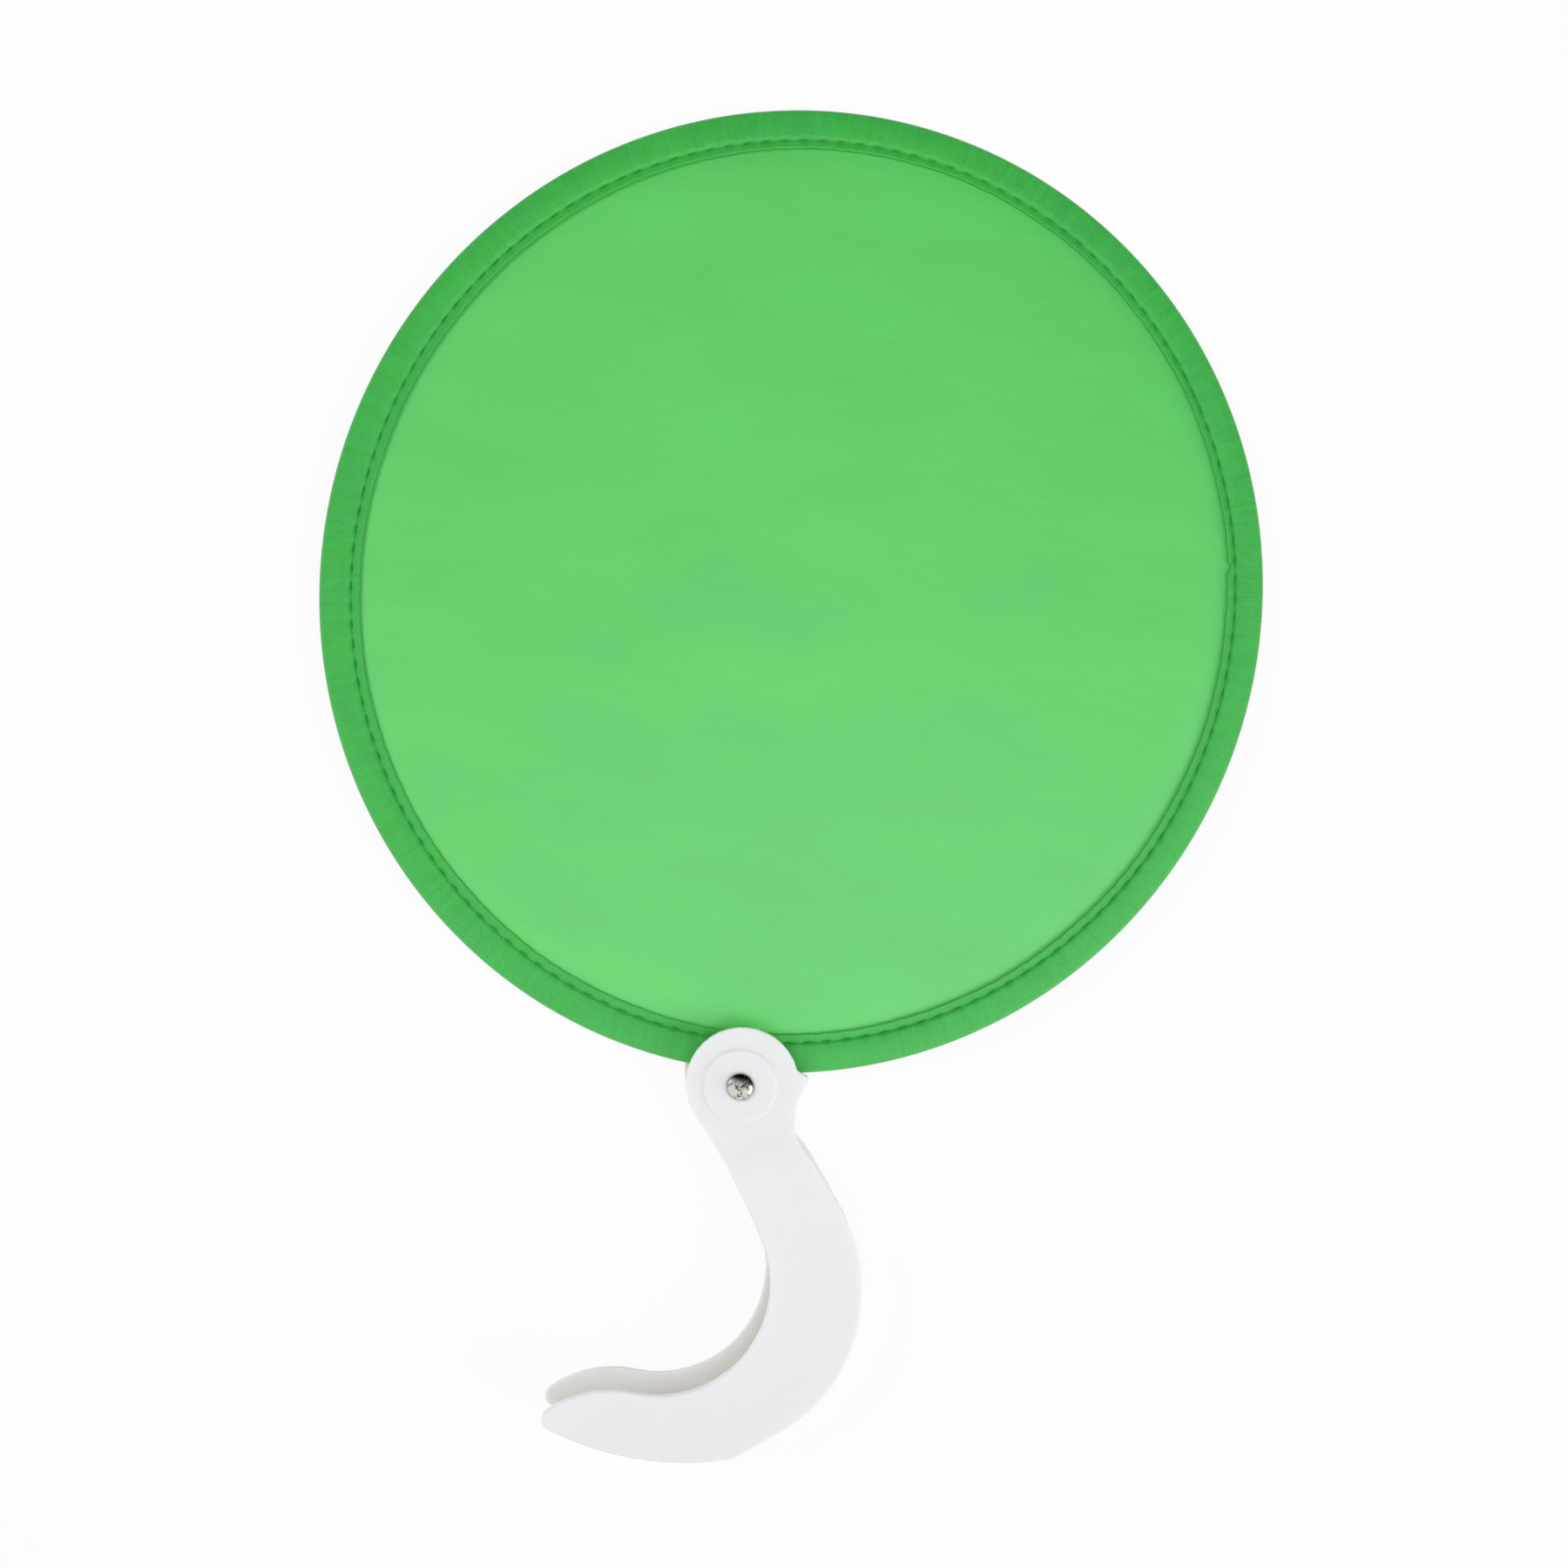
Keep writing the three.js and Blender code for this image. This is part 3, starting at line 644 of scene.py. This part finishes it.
# %% Tape
PUCKER = 0.26 * MM  # the cloth stands up between two stitches and is pressed down under one
PUCKER_WIDTH = 0.55 * MM
RIPPLE = 0.07 * MM  # how far the free edge goes in beside a stitch, and out beside a needle hole
EDGE_WOBBLE = 0.1 * MM  # how far the free edge wanders in and out
EDGE_LIFT = 0.06 * MM  # and up and down
EDGE_TURN = 1  # radians round the rim between those two, so that they don't keep step
EDGE_DRIFT = 0.5  # the share of the seam's drift by which the edge goes further than the seam
RIM_PLANE = 0.1 * MM  # points nearer the rim's plane than this stay in it


def dress_tape(vert):
    """Puckers at the seam and an uneven free edge, on a point of the round tape."""
    bearing = math.atan2(vert.co.y, vert.co.x)
    inset = disc_radius - vert.co.xy.length
    side = math.copysign(1.0, vert.co.z)
    near_seam = bell(inset - SEAM_INSET, PUCKER_WIDTH)
    free = part_way(inset, SEAM_INSET, TAPE_WIDTH)
    drawn = part_way(inset, 2 * FOLD_RADIUS, SEAM_INSET)
    lift = EDGE_LIFT * tape_wobble(bearing) * free - PUCKER * seam_wave(bearing) * near_seam
    wander = EDGE_WOBBLE * tape_wobble(bearing + EDGE_TURN)
    edge = wander + lap_shift(bearing) + EDGE_DRIFT * seam_shift(bearing)
    pull = drawn * seam_shift(bearing) + free * (edge + RIPPLE * seam_wave(bearing))
    inwards = -vert.co.xy.normalized() * pull
    vert.co.x += inwards.x
    vert.co.y += inwards.y
    vert.co.z += side * lift if abs(vert.co.z) > RIM_PLANE else 0


def weave_map(bm, across):
    """A UV map in millimetres: along the tape, and across it from the fold."""
    uv = bm.loops.layers.uv.new(WEAVE_MAP)
    for face in bm.faces:
        middle = face.calc_center_median()
        start = math.atan2(middle.y, middle.x)
        for loop in face.loops:
            turn = math.atan2(loop.vert.co.y, loop.vert.co.x) - start
            turn = (turn + math.pi) % math.tau - math.pi
            loop[uv].uv = ((start + turn) * disc_radius / MM, loop.vert[across] / MM)


def tape_mesh():
    bm = bmesh.new()
    across = bm.verts.layers.float.new("across")
    row = []
    for inset, height in half_section():
        vert = bm.verts.new((disc_radius - inset, 0, height))
        vert[across] = row[-1][across] + (vert.co - row[-1].co).length if row else 0.0
        row.append(vert)
    spin_row(bm, row, STITCHES * STEPS_PER_STITCH // ROUND_PARTS, turn=math.tau / ROUND_PARTS)
    bmesh.ops.mirror(bm, geom=bm.verts[:] + bm.edges[:] + bm.faces[:], axis="Z", merge_dist=MERGE)
    repeat_round(bm, ROUND_PARTS)
    bmesh.ops.recalc_face_normals(bm, faces=bm.faces)
    weave_map(bm, across)
    for vert in bm.verts:
        dress_tape(vert)
    bmesh.ops.transform(bm, matrix=disc_place, verts=bm.verts)
    return bm


binding = piece(
    "binding_cloth", tape_mesh(), tape_cloth_finish, "disc", ["binding_tape"], sharp=60
)

# %% [markdown]
# ## The stitches
#
# The seam is a lockstitch: one thread on the front, one on the rear, which cross inside the cloth at every
# needle hole. A stitch shows as a short bead of thread that dips at both ends. One long ball with few faces
# is enough for it, turned along the seam and repeated round the disc.

# %% Stitches
STITCH_THICK = 0.46 * MM
STITCH_SHARE = 0.92  # of the way from hole to hole
STITCH_SLANT = math.radians(8)
STITCH_SWAY = 0.06  # radians by which a slant may differ
STITCH_HEIGHT = 0.76 * MM
STITCH_FACETS = 6  # each way
STITCH_SEED = 3


def stitch_row(side):
    """All stitches of one side: 1 in front, -1 behind."""
    chance = random.Random(STITCH_SEED + side)
    seam_radius = disc_radius - SEAM_INSET
    length = math.tau * seam_radius / STITCHES * STITCH_SHARE
    shape = Matrix.Diagonal((STITCH_THICK / 2, length / 2, STITCH_THICK / 2, 1))
    bm = bmesh.new()
    for count in range(STITCHES // ROUND_PARTS):
        turn = Matrix.Rotation(math.tau * (count + 0.5) / STITCHES, 4, "Z")
        slant = side * STITCH_SLANT + chance.uniform(-STITCH_SWAY, STITCH_SWAY)
        spot = Matrix.Translation((seam_radius, 0, side * STITCH_HEIGHT)) @ Matrix.Rotation(slant, 4, "Z")
        bmesh.ops.create_uvsphere(
            bm,
            u_segments=STITCH_FACETS,
            v_segments=STITCH_FACETS,
            radius=1,
            matrix=turn @ spot @ shape,
        )
    repeat_round(bm, ROUND_PARTS)
    for vert in bm.verts:
        shift = seam_shift(math.atan2(vert.co.y, vert.co.x))
        vert.co.xy *= 1 - shift / seam_radius
    bmesh.ops.recalc_face_normals(bm, faces=bm.faces)
    bmesh.ops.transform(bm, matrix=disc_place, verts=bm.verts)
    return bm


front_stitches = piece("stitches_front", stitch_row(1), seam_thread_finish, "disc")
rear_stitches = piece("stitches_rear", stitch_row(-1), seam_thread_finish, "disc")

# %% [markdown]
# ## The sheets' cuts
#
# A sheet of cloth can't grow. The panel was a round cut. The tape was a straight strip, as wide as its
# section is long and as long as the rim.

# %% [markdown]
# ## The rivet
#
# A rivet is a turned part, so it is one spun outline: a low dome with a thin upright edge in front, the
# shank, and a hollow tail rolled outwards behind. The dome gets more points than the CAD solid has, because
# bright metal shows every facet.

# %% Rivet
RIVET_HEAD = 3.5 * MM  # the head's radius
RIVET_EDGE = 0.3 * MM  # the height of its upright edge
RIVET_CROWN = 1.2 * MM  # and of the dome on that
RIVET_SHANK = 1.6 * MM  # the shank's radius
RIVET_TAIL = 2.8 * MM  # the rolled tail's outer radius
RIVET_HOLLOW = 1.1 * MM  # and its inner one
RIVET_TAIL_RISE = 0.4 * MM
RIVET_DEPTH = 3 * MM  # from the roll's top down to the bottom of the hollow
RIVET_SEAT = 9 * MM  # the bosses' faces, from the middle of the handle's thickness
RIVET_STEPS = 64
DOME_STEPS = 12


def rivet_outline():
    """The outline as radii and heights, from the hollow tail behind to the top of the dome."""
    quarter = [math.pi / 2 * step / DOME_STEPS for step in range(DOME_STEPS + 1)]
    bottom = RIVET_DEPTH - RIVET_SEAT - RIVET_TAIL_RISE
    middle = (RIVET_TAIL + RIVET_HOLLOW) / 2
    half = (RIVET_TAIL - RIVET_HOLLOW) / 2
    outline = [(0, bottom), (RIVET_HOLLOW, bottom)]
    for t in quarter:
        outline.append((middle - half * math.cos(2 * t), -RIVET_SEAT - RIVET_TAIL_RISE * math.sin(2 * t)))
    outline += [(RIVET_SHANK, -RIVET_SEAT), (RIVET_SHANK, RIVET_SEAT), (RIVET_HEAD, RIVET_SEAT)]
    edge = RIVET_SEAT + RIVET_EDGE
    for t in quarter[:-1]:
        outline.append((RIVET_HEAD * math.cos(t), edge + RIVET_CROWN * math.sin(t)))
    return outline + [(0, edge + RIVET_CROWN)]


def rivet_mesh():
    bm = bmesh.new()
    row = [bm.verts.new((radius, 0, height)) for radius, height in rivet_outline()]
    spin_row(bm, row, RIVET_STEPS)
    bmesh.ops.recalc_face_normals(bm, faces=bm.faces)
    bmesh.ops.translate(bm, vec=pivot, verts=bm.verts)
    return bm


piece("rivet_metal", rivet_mesh(), rivet_finish, "handle", ["rivet"], sharp=40)

# %% [markdown]
# ## The handle
#
# The handle is one moulding: two cheeks and a spine. Its CAD solid has the right shape, so a copy of it is
# merged, and its flat parts are joined into whole faces. Plastic doesn't fill a sharp corner of a mould, so
# the edges of the cheeks, of the hollow and of the bosses are bevelled. The step below the head is a
# straight ramp in the solid. Here it is cut across into narrow bands, which are then moved on to one smooth
# curve.

# %% Handle edges
WALL_ROUND = 0.3 * MM
WALL_ANGLES = (60, 140)  # the faces beside a wall's edge meet at an angle between these, in degrees
BORE_CLEAR = 3 * MM  # edges nearer the pivot than this are under the rivet
BOSS_ROUND = 0.34 * MM
BOSS_ANGLES = (30, 60)
BOSS_NEAR = 8.5 * MM  # a boss's edge lies between these distances from the pivot
BOSS_FAR = 10 * MM


def edge_middle(edge):
    """The middle of an edge, from the pivot."""
    return (edge.verts[0].co + edge.verts[1].co) / 2 - pivot


def edges_between(bm, angles, near, far=math.inf):
    """Edges between two distances from the pivot, whose faces meet at an angle between two."""
    found = []
    for edge in bm.edges:
        in_reach = near < edge_middle(edge).xy.length < far
        if in_reach and angles[0] < math.degrees(edge.calc_face_angle()) < angles[1]:
            found.append(edge)
    return found


def soften(bm, edges, width, steps=2):
    print("softened:", len(edges), "edges")
    bmesh.ops.bevel(
        bm,
        geom=edges,
        offset=width,
        offset_type="OFFSET",
        segments=steps,
        profile=0.5,
        affect="EDGES",
        material=-1,
    )
    bmesh.ops.remove_doubles(bm, verts=bm.verts, dist=MERGE)
    bm.normal_update()


# %% Handle step
STEP_START = 13.9 * MM  # from the rivet down the handle
STEP_LENGTH = 6.5 * MM
STEP_OUT = 1 * MM
STEP_BLEND = 2.4 * MM  # the curve starts this far before the ramp and ends this far after it
STEP_BEARING = math.radians(-71.7)
STEP_BANDS = 14
CHEEK_HEIGHT = 5 * MM  # anything further than this from the middle of the thickness is a cheek
OUTSIDE_HEIGHT = 8 * MM  # and anything further than this is the outside of one
step_way = Vector((math.cos(STEP_BEARING), math.sin(STEP_BEARING), 0))


def on_ramp(edge):
    """True for an edge outside on the ramp, where the faces beside it are too narrow for a bevel."""
    middle = edge_middle(edge)
    return abs(middle.z) > OUTSIDE_HEIGHT and 0 < middle.dot(step_way) - STEP_START < STEP_LENGTH


def round_step(bm):
    """Cuts the ramp into bands and moves their points from the straight ramp to a smooth one."""
    first = STEP_START - STEP_BLEND
    last = STEP_START + STEP_LENGTH + STEP_BLEND
    for band in range(STEP_BANDS + 1):
        spot = pivot + step_way * (first + (last - first) * band / STEP_BANDS)
        parts = bm.verts[:] + bm.edges[:] + bm.faces[:]
        bmesh.ops.bisect_plane(bm, geom=parts, dist=MERGE, plane_co=spot, plane_no=step_way)
    for vert in bm.verts:
        out = vert.co - pivot
        down = out.dot(step_way)
        share = part_way(down, first, last)
        curve = share * share * (3 - 2 * share)
        ramp = part_way(down, STEP_START, STEP_START + STEP_LENGTH)
        if abs(out.z) > CHEEK_HEIGHT:
            vert.co.z += math.copysign(STEP_OUT, out.z) * (curve - ramp)


print("step:", STEP_BANDS, "bands")

# %% Handle
CUT_SLIVER = 0.05 * MM  # where two cuts meet, points nearer than this are one corner
FLAT_ANGLE = math.radians(0.4)  # faces that meet at less than this are one flat face


def handle_mesh():
    bm = bmesh.new()
    bm.from_mesh(nodes["handle"].data)
    bmesh.ops.remove_doubles(bm, verts=bm.verts, dist=CUT_SLIVER)
    bmesh.ops.dissolve_degenerate(bm, dist=MERGE, edges=bm.edges)
    bmesh.ops.dissolve_limit(bm, angle_limit=FLAT_ANGLE, verts=bm.verts, edges=bm.edges)
    walls = [edge for edge in edges_between(bm, WALL_ANGLES, BORE_CLEAR) if not on_ramp(edge)]
    soften(bm, walls, WALL_ROUND)
    soften(bm, edges_between(bm, BOSS_ANGLES, BOSS_NEAR, BOSS_FAR), BOSS_ROUND, steps=4)
    round_step(bm)
    return bm


handle = piece(
    "handle_moulding", handle_mesh(), handle_finish, "handle", ["handle"], sharp=50
)
weighted = handle.modifiers.new("flat faces stay flat", "WEIGHTED_NORMAL")
weighted.keep_sharp = True

# %% [markdown]
# ## Floor and light
#
# The picture has a plain white ground and soft light. Two large boxes stand at the lower right and at the
# upper left, a small one hangs above, and a low one on the right lights the upright walls. Only the one at
# the lower right is mirrored in the satin cloth and in the metal. The floor is pale, and for the camera it
# also glows a little, so that it comes out white while the fan's soft shadow stays. Metal sees the same
# white ground.

# %% Floor
FLOOR_SIZE = 6.0
FLOOR_DROP = 0.2 * MM  # the puckers of the rear tape reach this low
FLOOR_PALE = (0.93, 0.93, 0.93, 1)
FLOOR_GLOW = 0.88


def seen_rays(wire):
    """1 for rays that look at the ground itself: the camera's, and those mirrored or passed on."""
    seen = wire.node("ShaderNodeLightPath", output="Is Camera Ray")
    for kind in ("Is Glossy Ray", "Is Transmission Ray"):
        seen = wire.math("MAXIMUM", seen, wire.node("ShaderNodeLightPath", output=kind))
    return seen


def floor_finish():
    material = bpy.data.materials.new("studio_floor")
    material.use_nodes = True
    material.node_tree.nodes.clear()
    wire = Wire(material.node_tree)
    matt = wire.node("ShaderNodeBsdfDiffuse", {}, {"Color": FLOOR_PALE})
    glow = wire.node("ShaderNodeEmission", {}, {"Color": WHITE, "Strength": 1.0})
    both = wire.node("ShaderNodeMixShader", {}, {0: seen_rays(wire) * FLOOR_GLOW, 1: matt, 2: glow})
    wire.node("ShaderNodeOutputMaterial", {}, {"Surface": both})
    return material


def add_floor():
    bm = bmesh.new()
    bmesh.ops.create_grid(bm, x_segments=1, y_segments=1, size=FLOOR_SIZE / 2)
    bmesh.ops.translate(bm, vec=(0, 0, -FLOOR_DROP), verts=bm.verts)
    mesh = bpy.data.meshes.new("floor")
    bm.to_mesh(mesh)
    bm.free()
    mesh.materials.append(floor_finish())
    floor = bpy.data.objects.new("floor", mesh)
    bpy.context.scene.collection.objects.link(floor)
    return floor


floor = add_floor()
print("floor:", FLOOR_SIZE, "m")

# %% Lights
SKY_LIGHT = 0.27
SKY_LEAN = 0.9  # the share by which the sky is lighter than that in front and darker behind
FRONT = (-0.5, -0.87, 0)  # the way to the front, which is the near side of the picture and a little left
DARK_WALL = -0.3  # rear to front, bright metal and satin see the room go from dark here
WHITE_WALL = 0.12  # to white here
LIGHTS = {
    "top_box": {"at": (0.03, 0.1, 0.5), "size": 0.4, "watts": 1.0, "mirrored": False},
    "key_box": {"at": (1.65, -0.7, 1.4), "size": 1.0, "watts": 13.0, "mirrored": True},
    "low_box": {"at": (1.75, -0.3, 0.35), "size": 0.6, "watts": 10.0, "mirrored": False},
    "side_box": {"at": (-1.7, 0.9, 1.5), "size": 1.0, "watts": 22.0, "mirrored": False},
}


def add_light(name, at, size, watts, mirrored):
    data = bpy.data.lights.new(name, "AREA")
    data.shape = "SQUARE"
    data.size = size
    data.energy = watts
    light = bpy.data.objects.new(name, data)
    light.location = at
    aim = Vector(at) - disc_middle
    light.rotation_euler = aim.to_track_quat("Z", "Y").to_euler()
    light.visible_glossy = mirrored
    light.visible_camera = False
    bpy.context.scene.collection.objects.link(light)


def add_world():
    """Soft light that leans to the front. The camera sees it white, and metal sees the room's dark rear."""
    world = bpy.data.worlds.new("studio")
    world.use_nodes = True
    world.node_tree.nodes.clear()
    wire = Wire(world.node_tree)
    ways = {0: wire.node("ShaderNodeTexCoord", output="Generated"), 1: FRONT}
    front = wire.node("ShaderNodeVectorMath", {"operation": "DOT_PRODUCT"}, ways, output="Value")
    light = SKY_LIGHT * (1 + SKY_LEAN * front)
    mirrored = front.smooth(DARK_WALL, WHITE_WALL)
    camera_ray = wire.node("ShaderNodeLightPath", output="Is Camera Ray")
    seen = camera_ray + (1 - camera_ray) * mirrored
    strength = light + seen_rays(wire) * (seen - light)
    sky = wire.node("ShaderNodeBackground", {}, {"Color": WHITE, "Strength": strength})
    wire.node("ShaderNodeOutputWorld", {}, {"Surface": sky})
    bpy.context.scene.world = world


for name, settings in LIGHTS.items():
    add_light(name, **settings)
add_world()
bpy.context.scene.view_settings.view_transform = "Standard"
print("lights:", list(LIGHTS))
